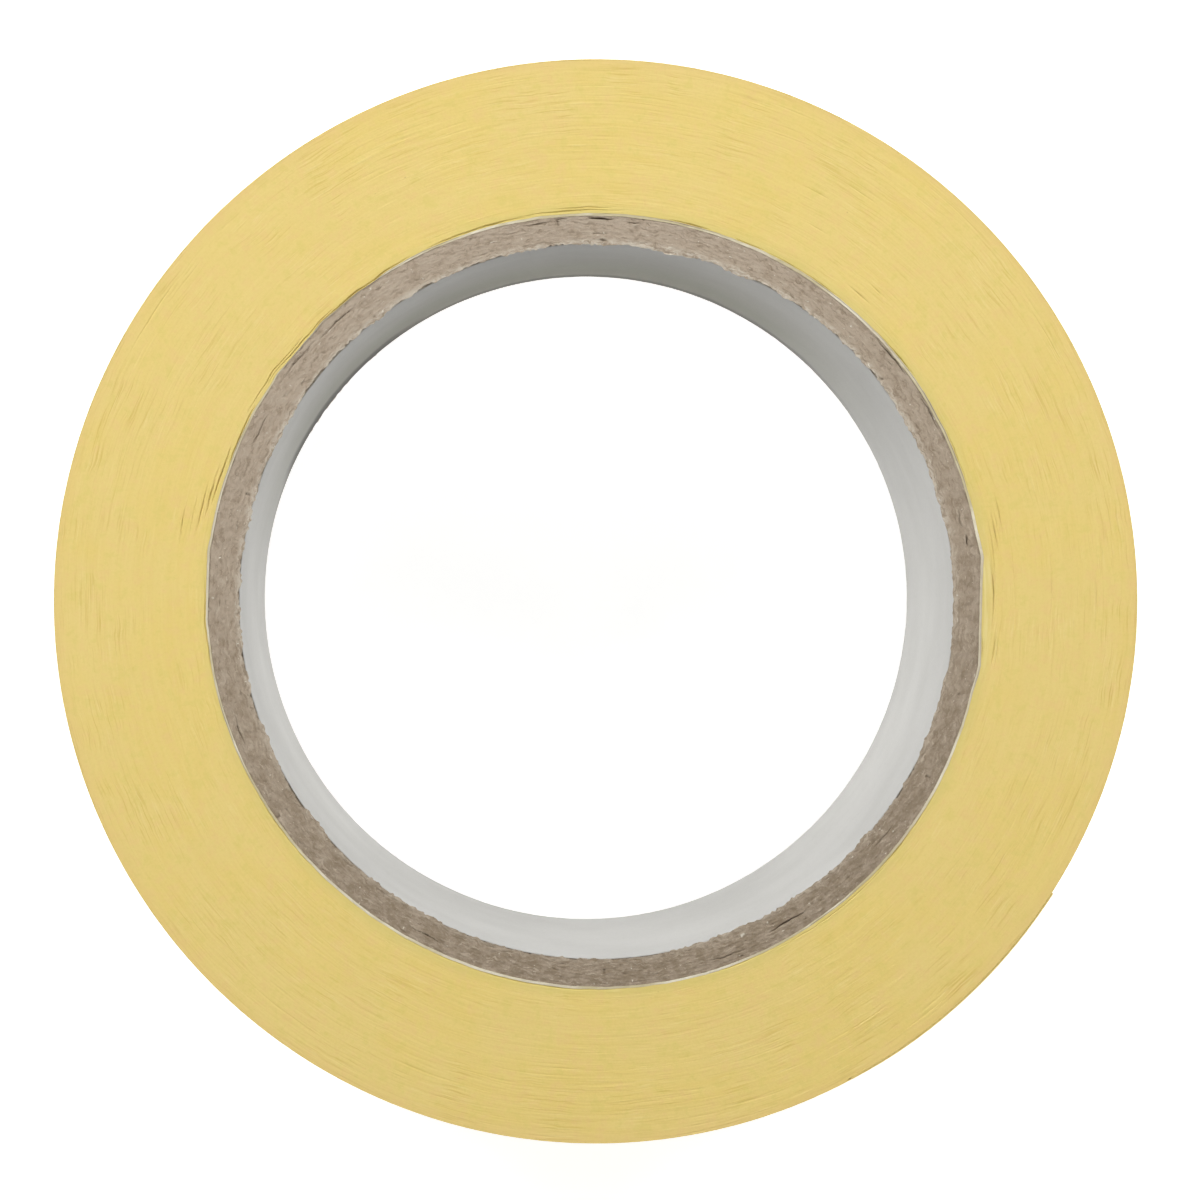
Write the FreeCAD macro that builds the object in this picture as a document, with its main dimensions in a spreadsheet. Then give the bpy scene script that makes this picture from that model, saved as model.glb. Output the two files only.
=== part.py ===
"""Masking tape roll: a spirally wound paper core and one long strip of crepe paper tape wound on it.

Frame: millimetres, +Z along the roll's axis, origin on the axis at the face that the roll lies on.
The strip is wound counter-clockwise going outward, seen from +Z. Its last stretch, the tail, is three short
links that lift off the roll one after another, each about a line across the tape's width.
"""

import FreeCAD, Part
import math
import os
import Sketcher

App = FreeCAD
V = App.Vector
doc = App.newDocument("masking_tape_roll")

# ---------------------------------------------------------------- driving dimensions
sheet = doc.addObject("Spreadsheet::Sheet", "Dimensions")
CELLS = [
    ("bore_radius", 38.1, "inside radius of the core, for a 3 inch spindle"),
    ("liner_thick", 0.15, "white paper liner inside the core"),
    ("board_thick", 0.525, "one ply of grey chipboard"),
    ("board_count", 6, "chipboard plies"),
    ("facing_thick", 0.35, "white paper facing round the outside of the core"),
    ("roll_width", 50.0, "width of the tape and of the core"),
    ("tape_thick", 0.125, "paper backing and adhesive together"),
    ("adhesive_thick", 0.025, "adhesive coat alone"),
    ("first_turn_count", 8, "turns next to the core, wound a little looser"),
    ("pack_turn_count", 120, "turns in the tightly wound pack"),
    ("seam_pitch", 120.0, "advance of the core's spiral seam in one turn"),
    ("seam_slot", 0.12, "height of the seam's butt gap along the axis"),
    ("hinge_angle", -62.0, "where the tail leaves the roll, degrees from +X"),
    ("link_count", 3, "links that the tail bends in"),
    ("link_length", 10.0, "length of one link along the tape"),
    ("link_gap", 0.12, "gap between two links, for the bend"),
    ("tail_clear", 0.05, "space between the tail and the turn under it"),
    ("tail_inset", 0.1, "tail's edge behind the roll's face, so that it clears the table"),
]
for row, (alias, value, note) in enumerate(CELLS, start=1):
    sheet.set(f"A{row}", note)
    sheet.set(f"B{row}", str(value))
    sheet.setAlias(f"B{row}", alias)
doc.recompute()


def dim(name):
    return float(sheet.get(name))


S = "Dimensions."
made = []


def new_body(label):
    body = doc.addObject("PartDesign::Body", label)
    body.Label = label
    made.append(body)
    return body


def plane(body, role):
    return next(f for f in body.Origin.OriginFeatures if f.Role == role)


def new_sketch(body, name, role):
    sk = body.newObject("Sketcher::SketchObject", name)
    sk.AttachmentSupport = [(plane(body, role), "")]
    sk.MapMode = "FlatFace"
    return sk


def bind(sk, constraint, name, expression):
    """Adds a dimension to the sketch, names it and ties it to the sheet."""
    i = sk.addConstraint(constraint)
    sk.renameConstraint(i, name)
    sk.setExpression(f"Constraints.{name}", expression)
    return i


def pad(body, sk, name, expression):
    feature = body.newObject("PartDesign::Pad", name)
    feature.Profile = sk
    feature.setExpression("Length", expression)
    feature.Length = dim("roll_width")
    sk.Visibility = False
    body.Tip = feature
    return feature


def ring(label, inner, outer, r_in, r_out):
    """A plain tube, of the roll's full width."""
    body = new_body(label)
    sk = new_sketch(body, label + "_outline", "XY_Plane")
    for name, expression, r in (("inner", inner, r_in), ("outer", outer, r_out)):
        g = sk.addGeometry(Part.Circle(V(0, 0, 0), V(0, 0, 1), r), False)
        sk.addConstraint(Sketcher.Constraint("Coincident", g, 3, -1, 1))
        bind(sk, Sketcher.Constraint("Radius", g, r), name, expression)
    pad(body, sk, label + "_pad", S + "roll_width")
    return body


def seam(body, label, r_in, r_out, angle):
    """The butt gap between the edges of the ply's strip: a narrow helical slot right through the ply."""
    start, r_mid = -6.0, (r_in + r_out) / 2
    half_w, half_h = (r_out - r_in) / 2 + 0.15, dim("seam_slot") / 2
    sk = new_sketch(body, label + "_seam_outline", "XZ_Plane")
    corners = [
        V(r_mid - half_w, start - half_h, 0),
        V(r_mid + half_w, start - half_h, 0),
        V(r_mid + half_w, start + half_h, 0),
        V(r_mid - half_w, start + half_h, 0),
    ]
    lines = [
        sk.addGeometry(Part.LineSegment(corners[i], corners[(i + 1) % 4]), False)
        for i in range(4)
    ]
    for i in range(4):
        sk.addConstraint(
            Sketcher.Constraint("Coincident", lines[i], 2, lines[(i + 1) % 4], 1)
        )
    for i in (0, 2):
        sk.addConstraint(Sketcher.Constraint("Horizontal", lines[i]))
    for i in (1, 3):
        sk.addConstraint(Sketcher.Constraint("Vertical", lines[i]))
    sk.addConstraint(
        Sketcher.Constraint("DistanceX", -1, 1, lines[0], 1, r_mid - half_w)
    )
    sk.addConstraint(
        Sketcher.Constraint("DistanceX", lines[0], 1, lines[0], 2, 2 * half_w)
    )
    sk.addConstraint(
        Sketcher.Constraint("DistanceY", -1, 1, lines[0], 1, start - half_h)
    )
    bind(
        sk,
        Sketcher.Constraint("DistanceY", lines[1], 1, lines[1], 2, 2 * half_h),
        "slot",
        S + "seam_slot",
    )
    doc.recompute()
    before = body.Shape.Volume
    cut = body.newObject("PartDesign::SubtractiveHelix", label + "_seam")
    cut.Profile = sk
    cut.ReferenceAxis = (sk, ["V_Axis"])
    cut.Mode = 0
    cut.Pitch = dim("seam_pitch")
    cut.setExpression("Pitch", S + "seam_pitch")
    cut.Height = dim("roll_width") - 2 * start
    cut.setExpression("Height", f"{S}roll_width + {-2 * start}")
    cut.Angle = 0
    cut.LeftHanded = False
    sk.Visibility = False
    body.Tip = cut
    doc.recompute()
    # The slot meets the top face at this turn from +X before the body is turned.
    at_top = 360.0 * (dim("roll_width") - start) / dim("seam_pitch")
    body.Placement = App.Placement(
        V(0, 0, 0), App.Rotation(V(0, 0, 1), angle - at_top)
    )
    doc.recompute()
    lost = before - body.Shape.Volume
    arc = 2 * math.pi * dim("roll_width") / dim("seam_pitch") * r_mid
    expected = dim("seam_slot") * (r_out - r_in) * arc
    print(f"{label}: seam takes {lost:.2f} mm3, expected {expected:.2f}")
    if not 0.8 * expected < lost < 1.2 * expected:
        raise RuntimeError(f"{label}: the seam cut {lost} mm3")


# ---------------------------------------------------------------- core
liner_out = S + "bore_radius + " + S + "liner_thick"
ring(
    "core_inner_liner",
    S + "bore_radius",
    liner_out,
    dim("bore_radius"),
    dim("bore_radius") + dim("liner_thick"),
)
SEAM_ANGLES = [38.0, 163.0, 271.0, 332.0, 96.0, 214.0]
board_in = dim("bore_radius") + dim("liner_thick")
for i in range(int(dim("board_count"))):
    label = f"core_board_ply_{i + 1}"
    r0 = board_in + i * dim("board_thick")
    r1 = r0 + dim("board_thick")
    body = ring(
        label,
        f"{liner_out} + {i} * {S}board_thick",
        f"{liner_out} + {i + 1} * {S}board_thick",
        r0,
        r1,
    )
    seam(body, label, r0, r1, SEAM_ANGLES[i % len(SEAM_ANGLES)])
board_out = f"{liner_out} + {S}board_count * {S}board_thick"
r_board = board_in + dim("board_count") * dim("board_thick")
r_core = r_board + dim("facing_thick")
core_out = f"{board_out} + {S}facing_thick"
body = ring("core_outer_facing", board_out, core_out, r_board, r_core)
seam(body, "core_outer_facing", r_board, r_core, 123.0)

# ---------------------------------------------------------------- tape
tape = dim("tape_thick")
first_out = f"{core_out} + {S}first_turn_count * {S}tape_thick"
r_first = r_core + dim("first_turn_count") * tape
ring("tape_first_turns", core_out, first_out, r_core, r_first)

# The pack's outside and the last turn follow a spiral made of four quarter arcs. Their centres are the corners of
# a square of side tape/4, so each quarter's radius is tape/4 more than the one before and the arcs stay tangent.
# In a body's own frame the spiral's step lies along +X; the body is then turned to the hinge angle.
q = tape / 4
CENTRES = [(-q / 2, q / 2), (-q / 2, -q / 2), (q / 2, -q / 2), (q / 2, q / 2)]
r_pack = r_first + dim("pack_turn_count") * tape
pack_out = f"{first_out} + {S}pack_turn_count * {S}tape_thick"
HALF_STEP = f"{S}tape_thick / 8"
turned = App.Rotation(V(0, 0, 1), dim("hinge_angle"))


def spiral_arcs(sk, prefix, radius, expression, end_drop, centres_from=None):
    """Four tangent quarter arcs, starting at angle 0. The last one stops end_drop short of the full turn."""
    arcs = []
    for k, (cx, cy) in enumerate(CENTRES):
        r = radius + k * q
        a0, a1 = math.pi / 2 * k, math.pi / 2 * (k + 1)
        if k == 3:
            a1 -= end_drop / r
        arc = Part.ArcOfCircle(Part.Circle(V(cx, cy, 0), V(0, 0, 1), r), a0, a1)
        arcs.append(sk.addGeometry(arc, False))
    for k, g in enumerate(arcs):
        cx, cy = CENTRES[k]
        if centres_from is None:
            sx, sy = ("-" if cx < 0 else ""), ("-" if cy < 0 else "")
            bind(
                sk,
                Sketcher.Constraint("DistanceX", -1, 1, g, 3, cx),
                f"{prefix}_x{k + 1}c",
                sx + HALF_STEP,
            )
            bind(
                sk,
                Sketcher.Constraint("DistanceY", -1, 1, g, 3, cy),
                f"{prefix}_y{k + 1}c",
                sy + HALF_STEP,
            )
        else:
            sk.addConstraint(
                Sketcher.Constraint("Coincident", g, 3, centres_from[k], 3)
            )
        if k == 0:
            bind(
                sk, Sketcher.Constraint("Radius", g, radius), prefix + "_rad", expression
            )
            sk.addConstraint(Sketcher.Constraint("Horizontal", g, 3, g, 1))
        else:
            sk.addConstraint(Sketcher.Constraint("Coincident", arcs[k - 1], 2, g, 1))
        if k < 3:
            way = "Vertical" if k % 2 == 0 else "Horizontal"
            sk.addConstraint(Sketcher.Constraint(way, g, 3, g, 2))
        elif end_drop == 0:
            sk.addConstraint(Sketcher.Constraint("Horizontal", g, 3, g, 2))
        else:
            bind(
                sk,
                Sketcher.Constraint("DistanceY", g, 2, g, 3, end_drop),
                prefix + "_drop",
                S + "link_gap / 2",
            )
    return arcs


def close(sk, a, a_end, b, b_end):
    """A straight edge between two arc ends."""
    g = sk.addGeometry(Part.LineSegment(sk.getPoint(a, a_end), sk.getPoint(b, b_end)))
    sk.addConstraint(Sketcher.Constraint("Coincident", g, 1, a, a_end))
    sk.addConstraint(Sketcher.Constraint("Coincident", g, 2, b, b_end))


inner_radius = r_pack + q / 2
inner_expression = f"{pack_out} + {HALF_STEP}"

body = new_body("tape_wound_pack")
sk = new_sketch(body, "pack_outline", "XY_Plane")
hole = sk.addGeometry(Part.Circle(V(0, 0, 0), V(0, 0, 1), r_first), False)
sk.addConstraint(Sketcher.Constraint("Coincident", hole, 3, -1, 1))
bind(sk, Sketcher.Constraint("Radius", hole, r_first), "hole_rad", first_out)
arcs = spiral_arcs(sk, "spiral", inner_radius, inner_expression, 0)
close(sk, arcs[3], 2, arcs[0], 1)
pad(body, sk, "pack_pad", S + "roll_width")
body.Placement = App.Placement(V(0, 0, 0), turned)

drop = dim("link_gap") / 2


def last_turn(label, r0, r1, e0, e1):
    """One layer of the last turn, between two spirals of the same shape."""
    body = new_body(label)
    sk = new_sketch(body, label + "_outline", "XY_Plane")
    inner = spiral_arcs(sk, "under", r0, e0, drop)
    outer = spiral_arcs(sk, "over", r1, e1, drop, centres_from=inner)
    close(sk, inner[0], 1, outer[0], 1)
    close(sk, inner[3], 2, outer[3], 2)
    pad(body, sk, label + "_pad", S + "roll_width")
    body.Placement = App.Placement(V(0, 0, 0), turned)


glue_radius = inner_radius + dim("adhesive_thick")
glue_expression = f"{inner_expression} + {S}adhesive_thick"
over_radius = inner_radius + tape
over_expression = f"{inner_expression} + {S}tape_thick"
last_turn(
    "tape_last_turn_paper", glue_radius, over_radius, glue_expression, over_expression
)
last_turn(
    "tape_last_turn_adhesive",
    inner_radius,
    glue_radius,
    inner_expression,
    glue_expression,
)

# ---------------------------------------------------------------- tail
# It lies on the last turn's own start, tail_clear above it. Each link is an arc about the spiral's first centre:
# a coat of adhesive on the inside and the paper backing outside.
tail_in = inner_radius + tape + dim("tail_clear")
tail_expression = f"{inner_expression} + {S}tape_thick + {S}tail_clear"
mid = tail_in + tape / 2
per_mm = 180 / math.pi / mid
first_centre = turned.multVec(V(CENTRES[0][0], CENTRES[0][1], 0))


def link(label, number, r0, r1, e0, e1):
    body = new_body(label)
    sk = new_sketch(body, label + "_section", "XZ_Plane")
    z0, z1 = dim("tail_inset"), dim("roll_width") - dim("tail_inset")
    pts = [V(r0, z0, 0), V(r1, z0, 0), V(r1, z1, 0), V(r0, z1, 0)]
    g = [
        sk.addGeometry(Part.LineSegment(pts[i], pts[(i + 1) % 4]), False)
        for i in range(4)
    ]
    for i in range(4):
        sk.addConstraint(Sketcher.Constraint("Coincident", g[i], 2, g[(i + 1) % 4], 1))
    for i in (0, 2):
        sk.addConstraint(Sketcher.Constraint("Horizontal", g[i]))
    for i in (1, 3):
        sk.addConstraint(Sketcher.Constraint("Vertical", g[i]))
    bind(sk, Sketcher.Constraint("DistanceX", -1, 1, g[0], 1, r0), "near_side", e0)
    bind(sk, Sketcher.Constraint("DistanceX", -1, 1, g[0], 2, r1), "far_side", e1)
    bind(
        sk,
        Sketcher.Constraint("DistanceY", -1, 1, g[0], 1, z0),
        "low_edge",
        S + "tail_inset",
    )
    bind(
        sk,
        Sketcher.Constraint("DistanceY", -1, 1, g[2], 1, z1),
        "high_edge",
        f"{S}roll_width - {S}tail_inset",
    )
    turn = body.newObject("PartDesign::Revolution", label + "_bend")
    turn.Profile = sk
    turn.ReferenceAxis = (sk, ["V_Axis"])
    turn.Angle = (dim("link_length") - dim("link_gap")) * per_mm
    turn.setExpression(
        "Angle",
        f"({S}link_length - {S}link_gap) / ({tail_expression} + {S}tape_thick / 2)"
        " * 180 / pi",
    )
    turn.Midplane = False
    turn.Reversed = False
    sk.Visibility = False
    body.Tip = turn
    doc.recompute()
    begin = (number * dim("link_length") + dim("link_gap") / 2) * per_mm
    # The revolved arc may run either way from the sketch's plane, so its own middle says how far to turn it.
    c = body.Shape.CenterOfMass
    half = (dim("link_length") - dim("link_gap")) * per_mm / 2
    own = math.degrees(math.atan2(c.y, c.x))
    spin = App.Rotation(V(0, 0, 1), dim("hinge_angle") + begin + half - own)
    body.Placement = App.Placement(first_centre, spin)


coat_out = tail_in + dim("adhesive_thick")
coat_expression = f"{tail_expression} + {S}adhesive_thick"
for n in range(int(dim("link_count"))):
    link(
        f"tail_paper_{n + 1}",
        n,
        coat_out,
        tail_in + tape,
        coat_expression,
        f"{tail_expression} + {S}tape_thick",
    )
    link(
        f"tail_adhesive_{n + 1}", n, tail_in, coat_out, tail_expression, coat_expression
    )

doc.recompute()

# ---------------------------------------------------------------- checks
bad = [
    f"{o.Name}: {o.State}"
    for o in doc.Objects
    if "Invalid" in o.State or "Error" in o.State
]
if bad:
    raise RuntimeError("objects that failed: " + "; ".join(bad))
for body in made:
    shape = body.Shape
    if shape.isNull() or not shape.isValid() or len(shape.Solids) != 1:
        raise RuntimeError(f"{body.Label}: not one valid solid")

# The hinge lines of the tail, in the frame of the whole roll: links turn about the middle of the tape's thickness.
for n in range(int(dim("link_count"))):
    a = math.radians(dim("hinge_angle") + n * dim("link_length") * per_mm)
    p = first_centre + V(mid * math.cos(a), mid * math.sin(a), 0)
    print(f"hinge {n + 1}: x {p.x:.4f} y {p.y:.4f} mm")
print(f"core outside radius {r_core:.3f}, pack radius {r_pack:.3f} mm")

# ---------------------------------------------------------------- output
os.makedirs("parts", exist_ok=True)
for body in made:
    body.Shape.exportStep(f"parts/{body.Label}.step")
    b = body.Shape.BoundBox
    print(
        f"{body.Label}: {body.Shape.Volume:.1f} mm3, x {b.XMin:.3f}..{b.XMax:.3f}"
        f" y {b.YMin:.3f}..{b.YMax:.3f} z {b.ZMin:.3f}..{b.ZMax:.3f}"
    )
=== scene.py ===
"""Looks of the masking tape roll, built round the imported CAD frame. Metres; lengths inside this file are in mm."""

import math

import bpy
import numpy as np
from mathutils import Matrix, Vector


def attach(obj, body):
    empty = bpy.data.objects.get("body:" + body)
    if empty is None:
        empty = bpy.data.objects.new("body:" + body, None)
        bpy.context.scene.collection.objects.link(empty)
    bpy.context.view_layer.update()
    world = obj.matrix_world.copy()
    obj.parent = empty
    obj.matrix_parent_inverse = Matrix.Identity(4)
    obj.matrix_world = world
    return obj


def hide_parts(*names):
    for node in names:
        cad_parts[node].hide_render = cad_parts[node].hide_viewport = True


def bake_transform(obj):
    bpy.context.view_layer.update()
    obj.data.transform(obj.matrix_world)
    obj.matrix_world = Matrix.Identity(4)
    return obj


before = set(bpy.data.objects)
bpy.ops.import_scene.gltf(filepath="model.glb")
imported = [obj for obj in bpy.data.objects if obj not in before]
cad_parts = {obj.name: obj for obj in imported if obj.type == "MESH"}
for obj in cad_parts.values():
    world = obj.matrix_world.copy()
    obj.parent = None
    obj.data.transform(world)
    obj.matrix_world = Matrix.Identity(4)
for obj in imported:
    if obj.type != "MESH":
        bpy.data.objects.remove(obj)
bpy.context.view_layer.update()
scene = bpy.context.scene
MM = 0.001
TAU = 2 * math.pi

# ---------------------------------------------------------------- sizes, as in the CAD
BORE, LINER, BOARD, CORE, FIRST, WIDTH, TAPE = 38.1, 38.25, 41.4, 41.75, 42.75, 50.0, 0.125
PLY = 0.525
PACK = FIRST + 120 * TAPE  # 57.75
HINGE = math.radians(-62.0)
Q = TAPE / 4
TAIL_IN = PACK + Q / 2 + TAPE + 0.05
MID = TAIL_IN + TAPE / 2
PER_MM = 1 / MID


# ---------------------------------------------------------------- noise and mesh helpers
def fade(t):
    return t * t * (3 - 2 * t)


def smooth(x, a, b):
    """0 below a, 1 above b."""
    return fade(np.clip((x - a) / (b - a), 0, 1))


def noise(u, v, nu, nv, seed, wrap=True):
    """Smooth value noise, -1 to 1, on nu by nv cells. u and v run 0 to 1; v closes on itself when wrap is set."""
    grid = np.random.default_rng(seed).uniform(-1, 1, (nu + 2, nv if wrap else nv + 2))
    x, y = np.clip(u, 0, 1) * nu, (v % 1 if wrap else np.clip(v, 0, 1)) * nv
    i, j = np.floor(x).astype(int), np.floor(y).astype(int)
    fx, fy = fade(x - i), fade(y - j)
    i1, j1 = i + 1, j + 1
    if wrap:
        j, j1 = j % nv, j1 % nv
    a = grid[i, j] * (1 - fy) + grid[i, j1] * fy
    b = grid[i1, j] * (1 - fy) + grid[i1, j1] * fy
    return a * (1 - fx) + b * fx


def fractal(u, v, nu, nv, seed, octaves=3, gain=0.55, wrap=True):
    out, amp, total = 0, 1.0, 0.0
    for k in range(octaves):
        out = out + amp * noise(u, v, nu * 2**k, nv * 2**k, seed + 17 * k, wrap)
        total += amp
        amp *= gain
    return out / total


def angle_gap(theta, at):
    """Signed difference of two angles, in radians."""
    return (theta - at + math.pi) % TAU - math.pi


def make(name, co, quads, attributes=None, sharp=None, smooth_faces=True):
    """A mesh object from arrays: co in mm (N, 3), quads (M, 4)."""
    mesh = bpy.data.meshes.new(name)
    mesh.vertices.add(len(co))
    mesh.vertices.foreach_set("co", (co * MM).astype(np.float32).ravel())
    mesh.loops.add(len(quads) * 4)
    mesh.loops.foreach_set("vertex_index", quads.astype(np.int32).ravel())
    mesh.polygons.add(len(quads))
    mesh.polygons.foreach_set("loop_start", np.arange(0, len(quads) * 4, 4, dtype=np.int32))
    mesh.update(calc_edges=True)
    mesh.polygons.foreach_set("use_smooth", np.full(len(quads), smooth_faces))
    for key, values in (attributes or {}).items():
        kind = "FLOAT_VECTOR" if values.ndim == 2 else "FLOAT"
        a = mesh.attributes.new(key, kind, "POINT")
        a.data.foreach_set("vector" if values.ndim == 2 else "value", values.astype(np.float32).ravel())
    if sharp is not None:
        edges = np.zeros(len(mesh.edges) * 2, np.int32)
        mesh.edges.foreach_get("vertices", edges)
        edges = edges.reshape(-1, 2)
        both = sharp[edges[:, 0]] & sharp[edges[:, 1]]
        a = mesh.attributes.new("sharp_edge", "BOOLEAN", "EDGE")
        a.data.foreach_set("value", both)
    mesh.validate()
    obj = bpy.data.objects.new(name, mesh)
    scene.collection.objects.link(obj)
    return obj


def ring(name, sections, n, attribute=None, start=0.0):
    """A closed ring. sections is a list of runs; each run is (kind, samples, function), where function(s, theta)
    gives radius and height in mm for s in 0..1. The runs follow one another round the cross-section, the last one
    back to the first. The corners between runs are sharp."""
    theta = start + np.arange(n) * TAU / n
    radii, heights, marks, kinds, along = [], [], [], [], []
    for kind, samples, function in sections:
        for k in range(samples):
            s = k / samples
            r, z = function(np.full(n, s), theta)
            radii.append(np.broadcast_to(r, (n,)))
            heights.append(np.broadcast_to(z, (n,)))
            marks.append(k == 0)
            kinds.append(kind)
            along.append(s)
    r, z = np.array(radii), np.array(heights)
    k = len(r)
    co = np.stack([r * np.cos(theta), r * np.sin(theta), z], -1).reshape(-1, 3)
    i, j = np.meshgrid(np.arange(k), np.arange(n), indexing="ij")
    i1, j1 = (i + 1) % k, (j + 1) % n
    quads = np.stack([i * n + j, i * n + j1, i1 * n + j1, i1 * n + j], -1).reshape(-1, 4)
    extra = {}
    if attribute is not None:
        for key, function in attribute.items():
            extra[key] = function(r, np.broadcast_to(theta, r.shape), z, kinds, along).ravel()
    return make(name, co, quads, extra, np.repeat(np.array(marks), n))


# ---------------------------------------------------------------- borders between the layers, seen on the cut face
def wavy(theta, r, terms):
    """A circle with a few slow waves: terms are the cosine and sine parts, from one wave per turn up."""
    r = np.full_like(theta, r)
    for k, (a, b) in enumerate(terms, 1):
        r = r + a * np.cos(k * theta) + b * np.sin(k * theta)
    return r


def flat(theta, r, a, b):
    """Straightens the border between angles a and b (degrees) into a chord between two slight corners."""
    a, b = math.radians(a), math.radians(b)
    mid, half = (a + b) / 2, (b - a) / 2
    d = angle_gap(theta, mid)
    inside = np.abs(d) < half
    sag = BOARD * (1 - math.cos(half))
    r = r + 0.55 * sag * (1 - smooth(np.abs(d), half, 1.5 * half))
    return np.where(inside, r * math.cos(half) / np.cos(np.where(inside, d, 0)), r)


def along(theta, cells, seed):
    return noise(theta * 0, theta / TAU, 1, cells, seed)


def board_border(theta):
    """Where the chipboard meets the white facing."""
    r = wavy(theta, 41.308, ((-0.21, 0.057), (0.075, -0.142), (-0.046, 0.039), (-0.043, 0.04), (0.008, -0.022)))
    r = r + 0.025 * along(theta, 150, 6) + 0.012 * along(theta, 420, 7)
    for a, b in ((-9.5, 6.5), (134.9, 144.4), (144.4, 151.1), (172.6, 182.5)):
        r = flat(theta, r, a, b)
    return r


def facing_border(theta):
    """Where the white facing meets the first turn of tape."""
    thick = wavy(theta, 0.27, ((0.02, 0.017), (-0.016, 0.024)))
    thick = thick + 0.035 * along(theta, 41, 8) + 0.015 * along(theta, 260, 9)
    thick = thick - 0.10 * (1 - smooth(np.abs(angle_gap(theta, math.radians(134))), 0.14, 0.30))
    thick = thick - 0.20 * np.exp(-((angle_gap(theta, math.radians(125.5)) / 0.03) ** 2))
    return board_border(theta) + np.maximum(thick, 0.05)


# ---------------------------------------------------------------- shader helpers
class Nodes:
    def __init__(self, name):
        self.mat = bpy.data.materials.new(name)
        self.mat.use_nodes = True
        self.t = self.mat.node_tree
        self.t.nodes.clear()
        self.out = self.t.nodes.new("ShaderNodeOutputMaterial")
        self.bsdf = self.t.nodes.new("ShaderNodeBsdfPrincipled")
        self.t.links.new(self.bsdf.outputs[0], self.out.inputs[0])

    def link(self, a, b):
        self.t.links.new(a, b)

    def put(self, socket, value):
        if hasattr(value, "is_output"):
            self.link(value, socket)
        else:
            socket.default_value = value

    def math(self, op, a, b=0.0, c=0.0, clamp=False):
        n = self.t.nodes.new("ShaderNodeMath")
        n.operation = op
        n.use_clamp = clamp
        for s, v in zip(n.inputs, (a, b, c)):
            self.put(s, v)
        return n.outputs[0]

    def point(self, attribute=None):
        """The point on the part in mm."""
        if attribute:
            n = self.t.nodes.new("ShaderNodeAttribute")
            n.attribute_name = attribute
            return n.outputs["Vector"]
        n = self.t.nodes.new("ShaderNodeTexCoord")
        m = self.t.nodes.new("ShaderNodeVectorMath")
        m.operation = "SCALE"
        self.link(n.outputs["Object"], m.inputs[0])
        m.inputs["Scale"].default_value = 1000.0
        return m.outputs[0]

    def split(self, v):
        n = self.t.nodes.new("ShaderNodeSeparateXYZ")
        self.link(v, n.inputs[0])
        return n.outputs[0], n.outputs[1], n.outputs[2]

    def join(self, x, y, z):
        n = self.t.nodes.new("ShaderNodeCombineXYZ")
        for s, v in zip(n.inputs, (x, y, z)):
            self.put(s, v)
        return n.outputs[0]

    def polar(self, p, per_mm, per_turn, height=0.0, sway=None):
        """Coordinates for streaks that run round the axis: per_mm cells along the radius, per_turn round it.
        sway is a shift of the radius in mm that makes the streaks waver."""
        x, y, z = self.split(p)
        r = self.math("SQRT", self.math("ADD", self.math("MULTIPLY", x, x), self.math("MULTIPLY", y, y)))
        k = per_turn / TAU
        c, s = self.math("DIVIDE", x, r), self.math("DIVIDE", y, r)
        first = self.math("MULTIPLY", r if sway is None else self.math("ADD", r, sway), per_mm)
        if height:
            first = self.math("ADD", first, self.math("MULTIPLY", z, height))
        return self.join(first, self.math("MULTIPLY", c, k), self.math("MULTIPLY", s, k)), r

    def noise(self, v, scale, detail=3.0, rough=0.55, distortion=0.0):
        n = self.t.nodes.new("ShaderNodeTexNoise")
        self.put(n.inputs["Vector"], v)
        n.inputs["Scale"].default_value = scale
        n.inputs["Detail"].default_value = detail
        n.inputs["Roughness"].default_value = rough
        n.inputs["Distortion"].default_value = distortion
        return n.outputs["Fac"]

    def voronoi(self, v, scale, feature="F1"):
        n = self.t.nodes.new("ShaderNodeTexVoronoi")
        n.feature = feature
        self.put(n.inputs["Vector"], v)
        n.inputs["Scale"].default_value = scale
        return n.outputs["Distance"]

    def attribute(self, name):
        n = self.t.nodes.new("ShaderNodeAttribute")
        n.attribute_name = name
        return n.outputs["Fac"]

    def span(self, value, a, b, lo=0.0, hi=1.0):
        """value from a..b to lo..hi, smooth and clamped."""
        n = self.t.nodes.new("ShaderNodeMapRange")
        n.interpolation_type = "SMOOTHSTEP"
        self.put(n.inputs["Value"], value)
        for key, v in (("From Min", a), ("From Max", b), ("To Min", lo), ("To Max", hi)):
            n.inputs[key].default_value = v
        return n.outputs["Result"]

    def mix(self, fac, a, b, blend="MIX"):
        n = self.t.nodes.new("ShaderNodeMix")
        n.data_type = "RGBA"
        n.blend_type = blend
        n.clamp_factor = True
        self.put(n.inputs[0], fac)
        for s, v in ((n.inputs[6], a), (n.inputs[7], b)):
            self.put(s, v if hasattr(v, "is_output") else (*v, 1.0))
        return n.outputs[2]

    def bump(self, height, strength, distance_mm, normal=None):
        n = self.t.nodes.new("ShaderNodeBump")
        n.inputs["Strength"].default_value = strength
        n.inputs["Distance"].default_value = distance_mm * MM
        self.link(height, n.inputs["Height"])
        if normal is not None:
            self.link(normal, n.inputs["Normal"])
        return n.outputs[0]

    def finish(self, color, roughness, normal=None, specular=0.35):
        self.put(self.bsdf.inputs["Base Color"], color)
        self.put(self.bsdf.inputs["Roughness"], roughness)
        self.bsdf.inputs["Specular IOR Level"].default_value = specular
        if normal is not None:
            self.link(normal, self.bsdf.inputs["Normal"])
        return self.mat


YELLOW = (0.613, 0.468, 0.142)
YELLOW_DEEP = (0.471, 0.323, 0.071)
YELLOW_PALE = (0.693, 0.566, 0.257)


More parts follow.
